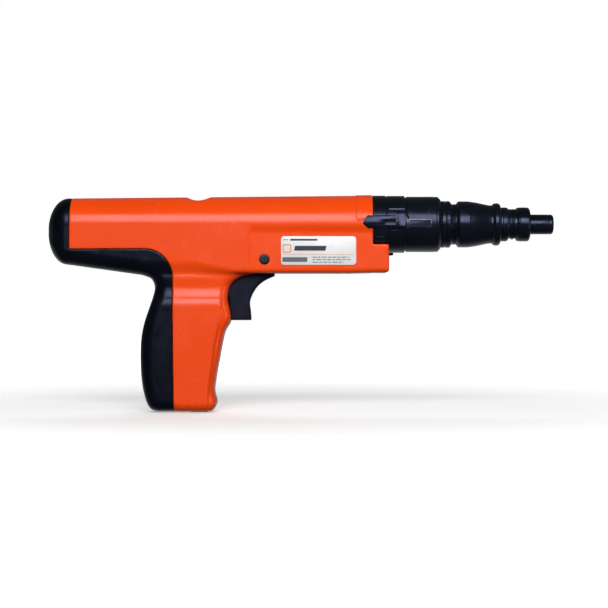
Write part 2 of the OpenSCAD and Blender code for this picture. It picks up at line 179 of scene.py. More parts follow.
# How fast the grip widens downwards at each height: a slope near 0.2 catches the key light
GRIP_SLOPES = [(-20, 0), (-28, 0.03), (-29.8, 0.10), (-31.6, 0.0), (-33, -0.12), (-34.4, 0.03),
               (-36.3, 0.12), (-38.2, 0.02), (-40, -0.12), (-43.6, -0.12), (-45.6, 0.06), (-49, 0.20),
               (-51.2, 0.13), (-52.6, 0.05), (-54, 0.16), (-55, 0.22), (-56.4, 0.12), (-58.6, 0.0),
               (-60.4, -0.05), (-64, -0.01), (-70, 0.0), (-127, 0.012), (-129, -0.15), (BASE_Z, -0.3)]
GRIP_TOP_W = 15.8
RUBBER_REGION = ([(REAR_X - 30, 60), (SEAM_X, 60), (SEAM_X, SEAM_Z + 0.6)]
                 + arc(SEAM_X + 0.6, SEAM_Z + 0.6, 0.6, 180, 270, 4)
                 + arc(-289.8, -37.4, 19.7, 90, 0, 16)
                 + [(-270.2, -62), (-269.3, BASE_Z), (-269.3, -200), (REAR_X - 30, -200)])

SCOOP_R = 13
SCOOP_FLOOR_Z = 16.7
VOXEL = 0.5
RING_CLEAR_R = COLLAR_HI.z + 0.25


class Grid:
    """Sample points on the +Y half. Every form here is the same on both sides."""

    def __init__(self, x, y_reach, z, step):
        self.step = step
        self.margin = 2
        axes = [np.arange(x[0], x[1] + step, step),
                np.arange(-self.margin, y_reach / step + 1) * step,
                np.arange(z[0], z[1] + step, step)]
        self.x = axes[0].astype(np.float32)[:, None, None]
        self.y = axes[1].astype(np.float32)[None, :, None]
        self.z = axes[2].astype(np.float32)[None, None, :]

    def mesh(self, field, name, whole=False):
        """The surface where the field is nought: the half as it stands, or mirrored to a whole."""
        low_y = self.y.min()
        if whole:
            half = field[:, self.margin:]
            field = np.concatenate([half[:, :0:-1], half], axis=1)
            low_y = -self.y.max()
        vdb = openvdb.FloatGrid(10.0)
        vdb.copyFromArray(np.ascontiguousarray(field, dtype=np.float32))
        points, _, quads = vdb.convertToPolygons(isovalue=0.0, adaptivity=0.0)
        low = np.array((self.x.min(), low_y, self.z.min()), np.float32)
        return mesh_piece(name, points * self.step + low, quads[:, ::-1])


def mesh_piece(name, points, faces):
    """A new object from points in millimetres."""
    me = bpy.data.meshes.new(name)
    me.from_pydata((np.asarray(points) * MM).tolist(), [], [list(map(int, f)) for f in faces])
    me.validate()
    me.update()
    ob = bpy.data.objects.new(name, me)
    bpy.context.scene.collection.objects.link(ob)
    return ob


def body_field(g):
    """Barrel housing: round above the axis, slab sided below it, domed at the rear."""
    x, y, z = g.x, np.abs(g.y), g.z
    r = BODY_R_REAR + (BODY_R_FRONT - BODY_R_REAR) * (x - DOME_X) / (FRONT_X - DOME_X)
    r = r + 0.4 * ramp((x + 141.2) / 0.9) * ramp((z - 1) / 4)
    bottom = np.interp(g.x, [DOME_X, -289.6, -270, -222, -145, -125, 0],
                       [CAP_DEPTH, 36.6, 36.9, BOX_DEPTH, BOX_DEPTH, BOX_DEPTH - 0.5, BOX_DEPTH - 0.5])
    corner = 11 + (3.2 - 11) * ramp((x + 262) / 40)
    panel = ramp((x + 217) / 2.5) * ramp((-0.6 - z) / 6.5)
    side = (r - 0.012 * np.abs(z)) * (1 - panel) + PANEL_Y * panel
    upper = np.sqrt(y * y + z * z) - r
    lower = rounded(y - side, -z - bottom, corner)
    trunk = np.where(z > 0, upper, lower)
    # The dome: the seam's own section shrinks along a quarter ellipse
    mid = -4.5
    angle = np.linspace(-math.pi, math.pi, 721)
    reach = np.full(angle.shape, 40.0)
    for _ in range(40):
        py, pz = np.abs(np.cos(angle)) * reach, mid + np.sin(angle) * reach
        up = np.hypot(py, pz) - BODY_R_REAR
        low = rounded(py - BODY_R_REAR, -pz - CAP_DEPTH, 11.0)
        reach -= np.where(pz > 0, up, low) * 0.8
    here = np.interp(np.arctan2(z - mid, y), angle, reach)
    gauge = np.hypot(y, z - mid) / here
    back = np.clip((DOME_X - x) / (DOME_X - REAR_X), 0, 2)
    dome = (np.sqrt(gauge ** 2 + back ** 2) - 1) * here
    return np.where(x < DOME_X, dome, trunk)


def grip_width(z):
    """Half width of the grip at heights z: GRIP_SLOPES summed from the top down."""
    heights, slopes = zip(*GRIP_SLOPES[::-1])
    step = 0.1
    fine = np.arange(BASE_Z, GRIP_SLOPES[0][0], step)
    slope = np.interp(fine, heights, slopes)
    return np.interp(z, fine, GRIP_TOP_W + np.cumsum(slope[::-1])[::-1] * step)


def grip_field(g):
    """Pistol grip: sides that swell by GRIP_SLOPES, a beaded palm panel and a thinner rubber back."""
    y = np.abs(g.y)
    side_view = polygon_distance(GRIP_OUTLINE, g.x, g.z)
    sides = grip_width(g.z)
    plain = sides - 0.4
    raised = polygon_distance(PALM_PANEL, g.x, g.z)
    sides = sides - 1.1 * ramp((raised + 1.3) / 2.2) * ramp((-51.5 - g.z) / 5)
    bead = 0.28 * np.exp(-((raised + 1.5) / 0.75) ** 2) * ramp((-62 - g.z) / 6)
    on_rubber = ramp((SEAM_GRIP_X + 0.6 - g.x) / 1.6)
    width = (sides + bead) * (1 - on_rubber) + plain * on_rubber
    edge = 7.0 + 2.5 * ramp((-262 - g.x) / 12)
    d = rounded(side_view, y - width, edge)
    return rounded(d, BASE_Z - g.z, 2.2)


def outer_field(g):
    x, y, z = g.x, np.abs(g.y), g.z
    body = rounded(body_field(g), x - FRONT_X, 0.7)
    toe = rounded(rounded(np.where(z > -8, 40.0, y - PANEL_Y), -z - BOX_DEPTH + 0.5, 3.2),
                  x - BOX_FRONT_X, 2.2)
    toe = rounded(toe, z + 14.6, 0.8)
    toe = np.maximum(toe, (RING_CLEAR_R - np.sqrt(y * y + z * z)))
    toe = np.where(x > -190, toe, 40.0)
    scoop = SCOOP_R - np.hypot(x - STRIP_X + 0.6, z - SCOOP_FLOOR_Z - SCOOP_R)
    body = blend_max(body, scoop, 1.0)
    return np.minimum(blend_min(body, grip_field(g), 2.5), toe)


def settle(ob):
    """Bakes an object's modifiers into its mesh."""
    dg = bpy.context.evaluated_depsgraph_get()
    me = bpy.data.meshes.new_from_object(ob.evaluated_get(dg))
    ob.modifiers.clear()
    ob.data = me
    return ob


def boolean(ob, tool, operation="DIFFERENCE"):
    m = ob.modifiers.new("cut", "BOOLEAN")
    m.operation, m.solver, m.object = operation, "MANIFOLD", tool
    settle(ob)
    bpy.data.objects.remove(tool)
    return ob


def outward(points):
    """The outline turned one way round, so that grown() makes it larger."""
    n = len(points)
    area = sum(points[i][0] * points[(i + 1) % n][1] - points[(i + 1) % n][0] * points[i][1]
               for i in range(n))
    return points if area > 0 else points[::-1]


def prism(points, y0, y1):
    """Solid with a side-view outline, from y0 to y1."""
    n = len(points)
    points = outward(points)
    verts = [(p[0], y, p[1]) for y in (y0, y1) for p in points]
    faces = [list(range(n)), list(range(2 * n - 1, n - 1, -1))]
    faces += [[i, n + i, n + (i + 1) % n, (i + 1) % n] for i in range(n)]
    return mesh_piece("tool", verts, faces)


def box_tool(x, y, z):
    return prism([(x[0], z[0]), (x[1], z[0]), (x[1], z[1]), (x[0], z[1])], y[0], y[1])


def round_rect(x0, x1, z0, z1, r, steps=6):
    return (arc(x1 - r, z0 + r, r, -90, 0, steps) + arc(x1 - r, z1 - r, r, 0, 90, steps)
            + arc(x0 + r, z1 - r, r, 90, 180, steps) + arc(x0 + r, z0 + r, r, 180, 270, steps))


def lathe(profile, name="tool", segments=160, centre=(0, 0), axis="x"):
    """Closed solid turned from a closed (station, radius) outline about X or Y."""
    rings = []
    for k in range(segments):
        a = 2 * math.pi * k / segments
        for u, r in profile:
            if axis == "x":
                rings.append((u, centre[0] + r * math.sin(a), centre[1] + r * math.cos(a)))
            else:
                rings.append((centre[0] + r * math.cos(a), u, centre[1] + r * math.sin(a)))
    n = len(profile)
    faces = [[k * n + i, k * n + (i + 1) % n, ((k + 1) % segments) * n + (i + 1) % n,
              ((k + 1) % segments) * n + i] for k in range(segments) for i in range(n)]
    ob = mesh_piece(name, rings, faces)
    tidy_normals(ob)
    return ob


def tidy_normals(ob):
    bm = bmesh.new()
    bm.from_mesh(ob.data)
    bmesh.ops.remove_doubles(bm, verts=bm.verts, dist=1e-7)
    bmesh.ops.recalc_face_normals(bm, faces=bm.faces)
    bm.to_mesh(ob.data)
    bm.free()


def eased(points, radius=0.35):
    """The closed outline with each corner rounded."""
    out = []
    steps = 4
    n = len(points)
    for i in range(n):
        a, b, c = (Vector(points[j % n][:2]) for j in (i - 1, i, i + 1))
        r = points[i][2] if len(points[i]) > 2 else radius
        back, on = a - b, c - b
        d = min(r, back.length * 0.48, on.length * 0.48)
        if d < 0.02 or back.angle(-on, 0) < 0.08:
            out.append(tuple(b))
            continue
        p, q = b + back.normalized() * d, b + on.normalized() * d
        for k in range(steps + 1):
            t = k / steps
            out.append(tuple((1 - t) ** 2 * p + 2 * t * (1 - t) * b + t * t * q))
    return out


def rod(x0, x1, r, segments=96):
    return lathe([(x0, 0.0001), (x0, r), (x1, r), (x1, 0.0001)], segments=segments)


def cross_rod(place, y0, y1, r, segments=64):
    return lathe([(y0, 0.0001), (y0, r), (y1, r), (y1, 0.0001)], segments=segments,
                 centre=place, axis="y")


def shade(ob, angle=35):
    """Smooth shading with creases where faces meet at more than the angle."""
    me = ob.data
    for p in me.polygons:
        p.use_smooth = True
    bm = bmesh.new()
    bm.from_mesh(me)
    limit = math.radians(angle)
    for e in bm.edges:
        e.smooth = len(e.link_faces) == 2 and e.calc_face_angle(0) < limit
    bm.to_mesh(me)
    bm.free()


def finish_piece(ob, name, body, material, nodes=()):
    """Names a piece, gives it its body and material, and hides the nodes it stands for."""
    ob.name = ob.data.name = name
    ob.data.materials.clear()
    ob.data.materials.append(material)
    if nodes:
        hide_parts(*nodes)
    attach(ob, body)
    return ob


# ---- Materials ----

class Shader:
    """A material's node tree, with the few nodes that every surface here needs."""

    def __init__(self, name, color, roughness, metallic=0.0, specular=0.5, tint=None, coat=0.0,
                 coat_roughness=0.2):
        self.material = bpy.data.materials.new(name)
        self.material.use_nodes = True
        self.tree = self.material.node_tree
        self.bsdf = self.tree.nodes["Principled BSDF"]
        self.set(self.bsdf, "Base Color", (*color, 1))
        self.set(self.bsdf, "Roughness", roughness)
        self.set(self.bsdf, "Metallic", metallic)
        self.set(self.bsdf, "Specular IOR Level", specular)
        if tint:
            self.set(self.bsdf, "Specular Tint", (*tint, 1))
        if coat:
            self.set(self.bsdf, "Coat Weight", coat)
            self.set(self.bsdf, "Coat Roughness", coat_roughness)
        self.place = self.tree.nodes.new("ShaderNodeTexCoord").outputs["Object"]
        self.normal = None

    @staticmethod
    def set(node, name, value):
        node.inputs[name].default_value = value

    def link(self, a, b):
        self.tree.links.new(a, b)

    def noise(self, scale, detail=3.0, stretch=None, roughness=0.5):
        place = self.place
        if stretch:
            mapping = self.tree.nodes.new("ShaderNodeMapping")
            mapping.inputs["Scale"].default_value = stretch
            self.link(place, mapping.inputs["Vector"])
            place = mapping.outputs["Vector"]
        node = self.tree.nodes.new("ShaderNodeTexNoise")
        self.set(node, "Scale", scale)
        self.set(node, "Detail", detail)
        self.set(node, "Roughness", roughness)
        self.link(place, node.inputs["Vector"])
        return node.outputs["Fac"]

    def cells(self, scale):
        node = self.tree.nodes.new("ShaderNodeTexVoronoi")
        self.set(node, "Scale", scale)
        self.link(self.place, node.inputs["Vector"])
        return node.outputs["Distance"]

    def remap(self, value, low, high, to_low, to_high):
        node = self.tree.nodes.new("ShaderNodeMapRange")
        for key, v in (("From Min", low), ("From Max", high), ("To Min", to_low), ("To Max", to_high)):
            self.set(node, key, v)
        self.link(value, node.inputs["Value"])
        return node.outputs["Result"]

    def colors(self, value, stops):
        node = self.tree.nodes.new("ShaderNodeValToRGB")
        ramp_stops = node.color_ramp.elements
        while len(ramp_stops) < len(stops):
            ramp_stops.new(0.5)
        for e, (at, color) in zip(ramp_stops, stops):
            e.position, e.color = at, (*color, 1)
        self.link(value, node.inputs["Fac"])
        return node.outputs["Color"]

    def blend_colors(self, fac, a, b):
        node = self.tree.nodes.new("ShaderNodeMix")
        node.data_type = "RGBA"
        self.link(fac, node.inputs[0])
        for socket, value in ((node.inputs[6], a), (node.inputs[7], b)):
            if isinstance(value, tuple):
                socket.default_value = (*value, 1)
            else:
                self.link(value, socket)
        return node.outputs[2]

    def bump(self, height, depth_mm):
        node = self.tree.nodes.new("ShaderNodeBump")
        self.set(node, "Distance", depth_mm * MM)
        self.set(node, "Strength", 1.0)
        self.link(height, node.inputs["Height"])
        if self.normal:
            self.link(self.normal, node.inputs["Normal"])
        self.normal = node.outputs["Normal"]
        self.link(self.normal, self.bsdf.inputs["Normal"])

    def color(self, socket):
        self.link(socket, self.bsdf.inputs["Base Color"])

    def roughness(self, socket):
        self.link(socket, self.bsdf.inputs["Roughness"])


def orange_plastic():
    s = Shader("orange_plastic", (0.93, 0.073, 0.005), 0.34, specular=0.31)
    broad = s.noise(18, 4)
    fine = s.noise(420, 2)
    base = s.colors(broad, [(0.3, (0.92, 0.067, 0.004)), (0.7, (0.96, 0.077, 0.006))])
    scuffs = s.remap(s.noise(60, 8, stretch=(0.35, 1, 1.6), roughness=0.7), 0.62, 0.74, 0, 0.35)
    s.color(s.blend_colors(scuffs, base, (0.94, 0.125, 0.035)))
    s.roughness(s.remap(s.noise(95, 6), 0.3, 0.75, 0.20, 0.30))
    s.bump(s.noise(2600, 2), 0.012)
    s.bump(fine, 0.010)
    return s.material


def black_rubber():
    s = Shader("black_rubber", (0.004, 0.0045, 0.008), 0.34, specular=0.30, tint=(0.56, 0.62, 1.0))
    s.color(s.colors(s.noise(45, 5), [(0.3, (0.002, 0.0025, 0.005)), (0.75, (0.004, 0.005, 0.010))]))
    s.roughness(s.remap(s.noise(120, 6), 0.3, 0.75, 0.24, 0.36))
    s.bump(s.cells(1500), 0.020)
    s.bump(s.noise(260, 3), 0.012)
    return s.material


def black_moulding():
    s = Shader("black_moulding", (0.005, 0.005, 0.010), 0.36, specular=0.26, tint=(0.58, 0.62, 1.0))
    s.color(s.colors(s.noise(70, 5), [(0.3, (0.003, 0.003, 0.007)), (0.75, (0.007, 0.007, 0.014))]))
    s.roughness(s.remap(s.noise(160, 5), 0.3, 0.75, 0.30, 0.44))
    s.bump(s.noise(2200, 2), 0.012)
    return s.material


def black_oxide():
    s = Shader("black_oxide", (0.004, 0.005, 0.008), 0.28, specular=0.42, tint=(0.50, 0.59, 1.0))
    wear = s.remap(s.noise(240, 8, roughness=0.75), 0.60, 0.72, 0, 0.55)
    base = s.colors(s.noise(55, 5), [(0.3, (0.0035, 0.0048, 0.008)), (0.75, (0.006, 0.008, 0.013))])
    s.color(s.blend_colors(wear, base, (0.014, 0.017, 0.025)))
    s.roughness(s.remap(s.noise(130, 6), 0.3, 0.75, 0.17, 0.33))
    s.bump(s.noise(1.0, 2, stretch=(2600, 6, 6)), 0.010)
    s.bump(s.noise(520, 4), 0.010)
    return s.material


def steel(name, dark, light, roughness, turning=True):
    s = Shader(name, light, roughness, metallic=1.0)
    s.color(s.colors(s.noise(80, 6), [(0.3, dark), (0.7, light)]))
    s.roughness(s.remap(s.noise(180, 6), 0.3, 0.75, roughness - 0.07, roughness + 0.12))
    if turning:
        s.bump(s.noise(1.0, 2, stretch=(2200, 8, 8)), 0.008)
    s.bump(s.noise(700, 3), 0.006)
    return s.material


def film(name, color, roughness=0.32):
    s = Shader(name, color, roughness, specular=0.45, coat=0.25, coat_roughness=0.15)
    shadow = tuple(c * 0.9 for c in color)
    s.color(s.colors(s.noise(90, 5), [(0.25, shadow), (0.6, color)]))
    s.roughness(s.remap(s.noise(200, 5), 0.3, 0.7, roughness - 0.05, roughness + 0.09))
    s.bump(s.noise(900, 3), 0.003)
    return s.material


def painted_reflection_plate():
    # Painted reflection: the plate's blue base colour, lighter than the collar's, stands in for the
    # light it reflects.
    s = Shader("painted_reflection_plate", (0.014, 0.018, 0.04), 0.34, specular=0.36, tint=(0.6, 0.7, 1.0))
    s.color(s.colors(s.noise(140, 6), [(0.3, (0.010, 0.013, 0.032)), (0.7, (0.018, 0.023, 0.050))]))
    s.roughness(s.remap(s.noise(300, 5), 0.3, 0.7, 0.28, 0.42))
    s.bump(s.noise(1.0, 2, stretch=(60, 8, 2400)), 0.008)
    return s.material


def urethane():
    s = Shader("urethane", (0.16, 0.035, 0.02), 0.42)
    s.color(s.colors(s.noise(90, 4), [(0.3, (0.11, 0.02, 0.012)), (0.7, (0.20, 0.05, 0.03))]))
    s.bump(s.noise(900, 3), 0.01)
    return s.material


MATERIALS = {
    "orange_plastic": orange_plastic(),
    "black_rubber": black_rubber(),
    "black_plastic": black_moulding(),
    "black_steel": black_oxide(),
    "gun_steel": steel("gun_steel", (0.07, 0.075, 0.09), (0.15, 0.16, 0.18), 0.36),
    "bright_steel": steel("bright_steel", (0.42, 0.43, 0.45), (0.60, 0.61, 0.63), 0.26),
    "dark_screw": steel("dark_screw", (0.018, 0.018, 0.024), (0.05, 0.05, 0.06), 0.40, False),
    "label": film("label_film", (0.80, 0.81, 0.81)),
    "buffer": urethane(),
}


# ---- Housing ----
RUBBER_T = 3.0
WALL_T = 2.4
RECEIVER_HI = node_box("receiver_tube")[1]
BORE_R = RECEIVER_HI.z + 0.1
BORE_REAR_X = node_box("rear_buffer")[0].x - 0.2
TRIGGER_LO, TRIGGER_HI = node_box("trigger")
SLOT_Y = 15.5
SLOT_GAP = 0.35
TRIGGER_SLOT_HALF_W = 7
SCREW_BORE_R = 2.0
SCREW_HEAD_BORE_R = 3.75
GRIP_SCREW_LO, GRIP_SCREW_HI = node_box("housing_screws")
GRIP_SCREW_R = 3.3
GRIP_SCREWS = [((GRIP_SCREW_LO.x + GRIP_SCREW_HI.x) / 2, z)
               for z in (GRIP_SCREW_LO.z + GRIP_SCREW_R, GRIP_SCREW_HI.z - GRIP_SCREW_R)]
SCREW_HEAD_DEPTH = 2.1
POCKET_X = (-103.4, -88.4)
POCKET_Z = (-2.2, 2.3)
POCKET_FLOOR_Y = 18
ARROW = [(-104, 5.1), (-132.7, 5.1), (-135.8, 1.8), (-135.8, -0.3), (-132.3, -3.4), (-104, -3.4)]


def grown(points, d):
    """The outline moved outwards by d, with mitred corners."""
    out = []
    n = len(points)
    for i in range(n):
        a, b, c = (Vector(points[j % n]) for j in (i - 1, i, i + 1))
        u, v = (b - a).normalized(), (c - b).normalized()
        nu, nv = Vector((u.y, -u.x)), Vector((v.y, -v.x))
        m = (nu + nv) / max(0.2, 1 + nu.dot(nv))
        out.append(tuple(b + m * d))
    return out


def plastic_half():
    """The left shell before its own cuts, from the parting plane outwards."""
    g = Grid((REAR_X - 2, BOX_FRONT_X + 2), 22, (BASE_Z - 2, WHOLE_HI.z + 2), VOXEL)
    outer = outer_field(g)
    covered = polygon_distance(RUBBER_REGION, g.x, g.z)
    shown = rounded(outer, -covered, 0.5)
    core = np.where(g.x < BOX_FRONT_X - 100, outer + RUBBER_T, 40)
    field = rounded(np.minimum(shown, core), 0.03 - g.y, 0.35)
    half = g.mesh(field, "housing_half")
    for tool in shared_cuts():
        boolean(half, tool)
    return half


def shared_cuts():
    """Solids of the spaces that both shells open onto."""
    grip_wall = RUBBER_T + WALL_T
    g = Grid((-300, -225), 16, (BASE_Z, 0), 1.5)
    yield g.mesh(grip_field(g) + grip_wall, "grip_space", whole=True)
    yield rod(BORE_REAR_X, 5, BORE_R, 160)
    yield box_tool((-223, BOX_FRONT_X - WALL_T), (-16, SLOT_Y), (-31.5, -8))
    yield box_tool((TRIGGER_LO.x - 4, TRIGGER_HI.x + 1.4),
                   (-TRIGGER_SLOT_HALF_W, TRIGGER_SLOT_HALF_W), (TRIGGER_LO.z - 2.6, -28))
    yield box_tool((STRIP_LO.x - 0.05, STRIP_HI.x + 0.05), (-7.55, 7.55), (BASE_Z - 6, -10))
    yield box_tool((STRIP_X - 3.8, STRIP_X + 3.8), (-5.9, 5.9), (0, 40))
    yield box_tool((-252.5, -220), (8, 12), (-31, -10))
    yield box_tool((-272.5, -235.3), (6, 9.9), (-52, -32))
    yield box_tool((-278.6, -260), (-4, 10.6), (-41.4, -20))


def mirrored(ob, name):
    other = bpy.data.objects.new(name, ob.data.copy())
    bpy.context.scene.collection.objects.link(other)
    other.data.transform(Matrix.Scale(-1, 4, (0, 1, 0)))
    other.data.flip_normals()
    return other


def label_groove():
    """A fine sunk line round the label."""
    x0, x1, z0, z1 = LABEL_LO.x, LABEL_HI.x, LABEL_LO.z, LABEL_HI.z
    line, r, depth = 0.5, 2.5, 0.35
    outer = prism(round_rect(x0 - line, x1 + line, z0 - line, z1 + line, r + line), -30, depth - PANEL_Y)
    inner = prism(round_rect(x0, x1, z0, z1, r), -31, 1 + depth - PANEL_Y)
    return boolean(outer, inner)


def housing():
    left = plastic_half()
    right = mirrored(left, "right")
    screw = (SCREW_X, SCREW_Z)
    for tool in (prism(grown(outward(ARROW), SLOT_GAP), -30, -SLOT_Y),
                 cross_rod(screw, -30, SCREW_HEAD_DEPTH - PANEL_Y, SCREW_HEAD_BORE_R),
                 cross_rod(screw, -30, 1, SCREW_BORE_R),
                 label_groove()):
        boolean(right, tool)
    boolean(left, cross_rod(screw, -1, 16, SCREW_BORE_R))
    boolean(left, box_tool((BOX_FRONT_X - 6, 5), (8, 12), (-28.5, -18.4)))
    for place in GRIP_SCREWS:
        boolean(left, cross_rod(place, 13.5, 30, 3.5))
        boolean(left, cross_rod(place, -1, 30, 1.6))
    for ob, side in ((right, "right"), (left, "left")):
        shade(ob, 40)
        finish_piece(ob, f"housing_shell_{side}", "housing",
                     MATERIALS["orange_plastic"], [f"housing_{side}"])


def backstrap():
    """Rubber cap and strip, with a softly rounded rim at the seam."""
    g = Grid((REAR_X - 2, -262), 22, (BASE_Z - 2, 22), VOXEL)
    outer = outer_field(g)
    region = polygon_distance(RUBBER_REGION, g.x, g.z)
    rim = rounded(outer, region + 0.14, 0.7)
    field = np.maximum(rim, -(outer + RUBBER_T - 0.1))
    ob = g.mesh(field, "backstrap", whole=True)
    shade(ob, 50)
    finish_piece(ob, "backstrap_rubber", "housing", MATERIALS["black_rubber"],
                 ["grip_backstrap"])


# ---- Trigger and screws ----
TRIGGER_OUTLINE = [tuple(p) for p in
    [(-209.8, -24), (-219.6, -34.2)]
    + smooth_path([(-226.4, -39.2), (-229.8, -42.5), (-231.7, -46.2), (-232.3, -50.2), (-231.2, -53.8),
                   (-231, -57), (-230.9, -60), (-230.5, -64), (-230.2, -68.6)])
    + smooth_path([(-215, -68.6), (-215.4, -62.5), (-216.1, -57), (-215.8, -54), (-214.8, -51.1),
                   (-213.4, -48.3), (-211.5, -45.4), (-208.9, -42.6), (-205.9, -40.4), (-203.1, -38.9),
                   (-198.4, -36.9)])
    + [(-198.4, -35.2), (-200.8, -26)]]


def trigger():
    """Finger lever with a rounded blade, its hub and the peg for the return spring."""
    g = Grid((TRIGGER_LO.x - 1.5, TRIGGER_HI.x + 1.5), 10, (TRIGGER_LO.z - 1, TRIGGER_HI.z + 1), 0.3)
    y = np.abs(g.y)
    half_w = 6.5 - 0.5 * ramp((g.z + 34) / 4)
    blade = rounded(polygon_distance(TRIGGER_OUTLINE, g.x, g.z), y - half_w, 1.5)
    blade = rounded(blade, TRIGGER_LO.z - g.z, 1.0)
    hub = np.maximum(np.hypot(g.x - SCREW_X, g.z - SCREW_Z) - 4.6, y - 6.5)
    peg = rounded(np.hypot(g.y, g.z + 45.7) - 2.3, np.abs(g.x + 233) - 5, 0.4)
    ob = g.mesh(blend_min(np.minimum(blade, peg), hub, 0.8), "trigger", whole=True)
    boolean(ob, box_tool((-238, -235.6), (-9.6, 0), (-48, -43.5)), "UNION")
    boolean(ob, cross_rod((SCREW_X, SCREW_Z), -9, 9, 2.05))
    shade(ob, 42)
    finish_piece(ob, "trigger_lever", "trigger", MATERIALS["black_plastic"],
                 ["trigger"])


def socket_screw(place, face_y, side, head_r, head_h, shank_r, shank_end, socket_r, name):
    """Screw across the tool; side is -1 where its head faces -Y."""
    under = face_y - side * head_h
    soft = 0.35
    profile = [(shank_end, 0.0001), (shank_end, shank_r - 0.4), (shank_end + side * 0.5, shank_r)]
    turns = int(abs(under - shank_end) / 0.8) - 2
    for k in range(turns):
        y = shank_end + side * (0.9 + 0.8 * k)
        profile += [(y, shank_r), (y + side * 0.3, shank_r - 0.28)]
    profile += [(under - side * 0.6, shank_r), (under, shank_r), (under, head_r - 0.1),
                (under + side * 0.15, head_r), (face_y - side * soft, head_r),
                (face_y - side * soft * 0.3, head_r - soft * 0.3), (face_y, head_r - soft),
                (face_y, 0.0001)]
    ob = lathe(profile, name, 72, place, "y")
    hexagon = [(place[0] + socket_r * math.cos(math.radians(60 * k)),
                place[1] + socket_r * math.sin(math.radians(60 * k))) for k in range(6)]
    lo, hi = sorted((face_y - side * head_h * 0.62, face_y + side))
    boolean(ob, prism(hexagon, lo, hi))
    lo, hi = sorted((face_y - side * 0.28, face_y + side))
    boolean(ob, cross_rod(place, lo, hi, socket_r * 1.12))
    shade(ob, 30)
    return ob


def screws():
    ob = socket_screw((SCREW_X, SCREW_Z), -PANEL_Y + 0.1, -1, 3.55, 2.0, 1.95, 15.9, 1.75,
                      "trigger_screw_detail")
    finish_piece(ob, "trigger_pivot_screw", "housing", MATERIALS["dark_screw"],
                 ["trigger_screw"])
    for k, place in enumerate(GRIP_SCREWS):
        ob = socket_screw(place, 15.3, 1, GRIP_SCREW_R, 1.8, 1.55, -11.9, 1.6, "grip_screw")
        finish_piece(ob, f"grip_screw_{k + 1}", "housing", MATERIALS["dark_screw"],
                     ["housing_screws"])


# ---- Label ----

def label():
    """White film with a generic print: a mark, bars and dashes, and no letters."""
    x0, x1, z0, z1 = LABEL_LO.x, LABEL_HI.x, LABEL_LO.z, LABEL_HI.z
    thick = 0.32
    film_piece = prism(round_rect(x0 + 0.1, x1 - 0.1, z0 + 0.1, z1 - 0.1, 2.4, 8),
                       -PANEL_Y - thick, -PANEL_Y)
    bevel(film_piece, 0.1, 2)
    shade(film_piece, 30)
    finish_piece(film_piece, "label_film", "housing", MATERIALS["label"], ["label_plate"])
    face = -PANEL_Y - thick
    w = x1 - x0

    def bar(u0, u1, v0, v1, lean=0.0):
        """Bar at shares of the label's width and at heights above its lower edge."""
        shift = lean * (v1 - v0)
        a, b = x0 + u0 * w, x0 + u1 * w
        return [(a, z0 + v0), (b, z0 + v0), (b + shift, z0 + v1), (a + shift, z0 + v1)]

    mark = round_rect(x0 + 1.3, x0 + 7.3, z0 + 8.6, z0 + 14.6, 1.3)
    mark_hole = round_rect(x0 + 2, x0 + 6.6, z0 + 9.3, z0 + 13.9, 0.8)
    dark = [bar(0.175, 0.59, 10.1, 13.5, 0.22), bar(0.125, 0.485, 17.1, 18.4)]
    grey = [bar(0.022, 0.35, 2.2, 5.5), bar(0.03, 0.1, 17.5, 18.0)]
    rule = [bar(0.02, 0.97, 7.35, 7.6)]
    dashes = []
    for row, (start, end) in enumerate(((0.42, 0.905), (0.42, 0.925), (0.42, 0.83))):
        u = start
        k = 0
        while u < end:
            long = (0.055, 0.035, 0.07, 0.045)[(k + row) % 4]
            dashes.append(bar(u, min(u + long, end), 5.2 - 1.75 * row, 5.8 - 1.75 * row))
            u += long + 0.014
            k += 1
    for name, shapes, color in (("label_print_dark", dark, (0.018, 0.018, 0.035)),
                                ("label_print_grey", grey + dashes, (0.11, 0.11, 0.13)),
                                ("label_print_orange", rule, (0.78, 0.20, 0.06))):
        parts = [prism(s, face - 0.05, face + 0.02) for s in shapes]
        if name.endswith("orange"):
            parts.append(boolean(prism(mark, face - 0.05, face + 0.02),
                                 prism(mark_hole, face - 1, face + 1)))
        ob = joined(parts)
        finish_piece(ob, name, "housing", film(name, color, 0.4))


def joined(parts):
    bm = bmesh.new()
    for p in parts:
        bm.from_mesh(p.data)
    first = parts[0]
    bm.to_mesh(first.data)
    bm.free()
    for p in parts[1:]:
        bpy.data.objects.remove(p)
    return first


def bevel(ob, width, segments=2, angle=40):
    m = ob.modifiers.new("bevel", "BEVEL")
    m.width, m.segments, m.limit_method = width * MM, segments, "ANGLE"
    m.angle_limit = math.radians(angle)
    m.use_clamp_overlap = True
    return settle(ob)


# ---- Front end ----

def turned(outer, inner, ease=0.3, segments=160):
    """Ring about the bore: outer and inner are (x, radius) outlines, both from back to front."""
    points = eased(outer + inner[::-1], ease)
    return lathe(points, segments=segments)


